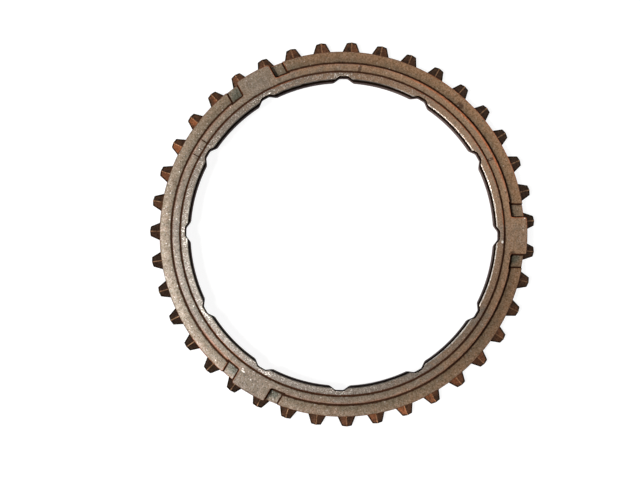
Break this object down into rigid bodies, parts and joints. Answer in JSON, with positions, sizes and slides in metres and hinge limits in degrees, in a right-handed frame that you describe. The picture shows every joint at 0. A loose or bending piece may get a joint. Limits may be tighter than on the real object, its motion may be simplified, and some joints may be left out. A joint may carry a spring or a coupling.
{
  "type": "synchronizer ring",
  "caption": "Toothed synchronizer blocking ring for a manual gearbox: stepped hub side with index lugs and milled pockets, conical bore with axial oil grooves.",
  "frame": {"origin": "centre of the gear-side face, on the ring's axis", "axes": "+Z along the ring's axis from the gear side to the hub side, +X through the middle of one index lug"},
  "size_m": [0.0914, 0.0916, 0.009],
  "materials": {
    "forged_steel": "blasted and lightly oiled forged steel with a brown patina, darker on the teeth"
  },
  "bodies": {
    "root": {"synchronizer_ring": "forged_steel"}
  },
  "joints": []
}
